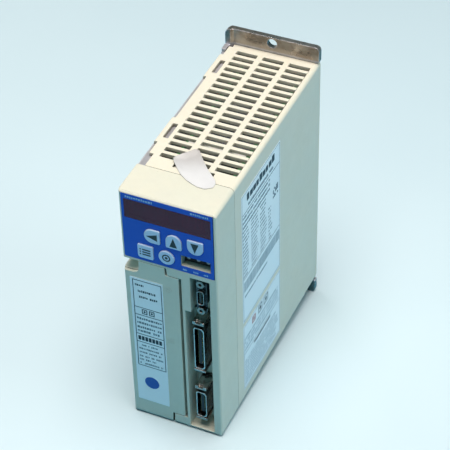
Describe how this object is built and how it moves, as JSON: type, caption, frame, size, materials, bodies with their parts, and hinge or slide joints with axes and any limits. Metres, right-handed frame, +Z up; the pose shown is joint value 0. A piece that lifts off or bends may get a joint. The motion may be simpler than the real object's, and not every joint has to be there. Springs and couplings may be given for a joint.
{
  "type": "servo drive",
  "caption": "Compact panel-mounted servo drive: beige vented housing on an aluminium back plate, blue keypad panel with display window, hinged terminal cover and a recessed connector bay.",
  "frame": {"origin": "centre of the two-hole mounting pattern, on the back mounting face", "axes": "+X to the right seen from the front, +Y into the mounting panel, +Z up along the hole pattern"},
  "size_m": [0.0502, 0.1287, 0.163],
  "materials": {
    "case_plastic": "fine textured moulding",
    "chassis_aluminium": "brushed",
    "panel_blue": "semi-gloss film",
    "window_smoke": "gloss tinted",
    "key_grey": "satin",
    "plunger_black": "satin",
    "switch_black": "satin",
    "connector_black": "satin",
    "connector_shell": "nickel plated",
    "contact_gold": "gold flash",
    "label_white": "printed film",
    "tape_clear": "translucent",
    "screw_steel": "zinc plated",
    "earth_brass": "satin",
    "plate_nickel": "nickel plated",
    "block_plastic": "satin",
    "board_green": "solder mask",
    "digit_red": "epoxy",
    "capacitor_sleeve": "sleeve",
    "film_blue": "box",
    "ferrite": "fired",
    "winding_copper": "enamelled",
    "nylon_white": "satin"
  },
  "bodies": {
    "root": {"board_brace": "nylon_white", "board_chips": "switch_black", "board_screws": "screw_steel", "board_standoffs": "screw_steel", "case_screws": "screw_steel", "control_board": "board_green", "dc_link_capacitors": "capacitor_sleeve", "display_board": "board_green", "display_board_screws": "screw_steel", "display_digits": "digit_red", "display_ribbon": "nylon_white", "display_window": "window_smoke", "film_capacitors": "film_blue", "front_bezel": "case_plastic", "ground_screws": "earth_brass", "heatsink_chassis": "chassis_aluminium", "inrush_relay": "switch_black", "io_connector_contacts": "contact_gold", "io_connector_insulator": "connector_black", "io_connector_latches": "connector_shell", "io_connector_shell": "connector_shell", "line_choke": "winding_copper", "main_cover": "case_plastic", "notice_label": "label_white", "panel_overlay": "panel_blue", "power_board": "board_green", "power_module": "switch_black", "power_screws": "screw_steel", "rating_label": "label_white", "rectifier_bridge": "switch_black", "seal_tape": "tape_clear", "serial_connector_contacts": "contact_gold", "serial_connector_insulator": "connector_black", "serial_connector_shell": "connector_shell", "serial_jackscrews": "screw_steel", "signal_connector_contacts": "contact_gold", "signal_connector_insulator": "connector_black", "signal_connector_latches": "connector_shell", "signal_connector_shell": "connector_shell", "snubber_capacitors": "capacitor_sleeve", "tact_switches": "switch_black", "terminal_block": "block_plastic", "terminal_plates": "plate_nickel", "terminal_screws": "screw_steel", "test_pin_header": "switch_black", "test_pins": "contact_gold", "transformer_core": "ferrite", "transformer_winding": "winding_copper"},
    "door": {"terminal_cover": "case_plastic", "terminal_cover_label": "label_white"},
    "key_left_body": {"key_left": "key_grey", "plunger_left": "plunger_black"},
    "key_up_body": {"key_up": "key_grey", "plunger_up": "plunger_black"},
    "key_down_body": {"key_down": "key_grey", "plunger_down": "plunger_black"},
    "key_mode_body": {"key_mode": "key_grey", "plunger_mode": "plunger_black"},
    "key_set_body": {"key_set": "key_grey", "plunger_set": "plunger_black"}
  },
  "joints": [
    {"name": "terminal_cover_hinge", "type": "hinge", "parent": "root", "child": "door", "pos_m": [0.0028, -0.1256, -0.0187], "axis": [0, 0, 1], "range_deg": [0, 105]},
    {"name": "key_left_press", "type": "slide", "parent": "root", "child": "key_left_body", "axis": [0, 1, 0], "range_m": [0, 0.0004], "stiffness_N_per_m": 300},
    {"name": "key_up_press", "type": "slide", "parent": "root", "child": "key_up_body", "axis": [0, 1, 0], "range_m": [0, 0.0004], "stiffness_N_per_m": 300},
    {"name": "key_down_press", "type": "slide", "parent": "root", "child": "key_down_body", "axis": [0, 1, 0], "range_m": [0, 0.0004], "stiffness_N_per_m": 300},
    {"name": "key_mode_press", "type": "slide", "parent": "root", "child": "key_mode_body", "axis": [0, 1, 0], "range_m": [0, 0.0004], "stiffness_N_per_m": 300},
    {"name": "key_set_press", "type": "slide", "parent": "root", "child": "key_set_body", "axis": [0, 1, 0], "range_m": [0, 0.0004], "stiffness_N_per_m": 300}
  ]
}
